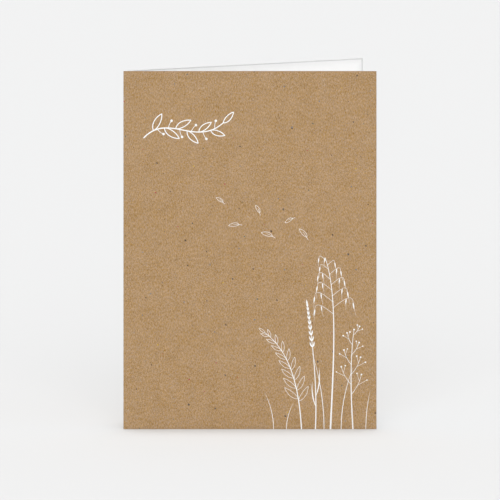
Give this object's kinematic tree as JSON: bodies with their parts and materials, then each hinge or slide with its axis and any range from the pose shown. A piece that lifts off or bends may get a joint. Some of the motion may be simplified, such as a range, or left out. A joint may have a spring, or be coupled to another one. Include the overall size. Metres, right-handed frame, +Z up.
{
  "type": "greeting card",
  "caption": "Portrait greeting card, one sheet scored and folded at the left, kraft brown outside and white inside, standing open on its bottom edges.",
  "frame": {"origin": "middle of the card's bounding box, on the surface that it stands on", "axes": "+Z up along the fold; the front panel lies across X and faces -Y; the fold is at the -X side and the back panel swings away towards +Y"},
  "size_m": [0.118, 0.0394, 0.169],
  "materials": {
    "kraft_card": "matt uncoated card, kraft brown outside and white inside",
    "white_ink": "matt white ink line print"
  },
  "bodies": {
    "root": {"folded_card": "kraft_card"}
  },
  "joints": []
}
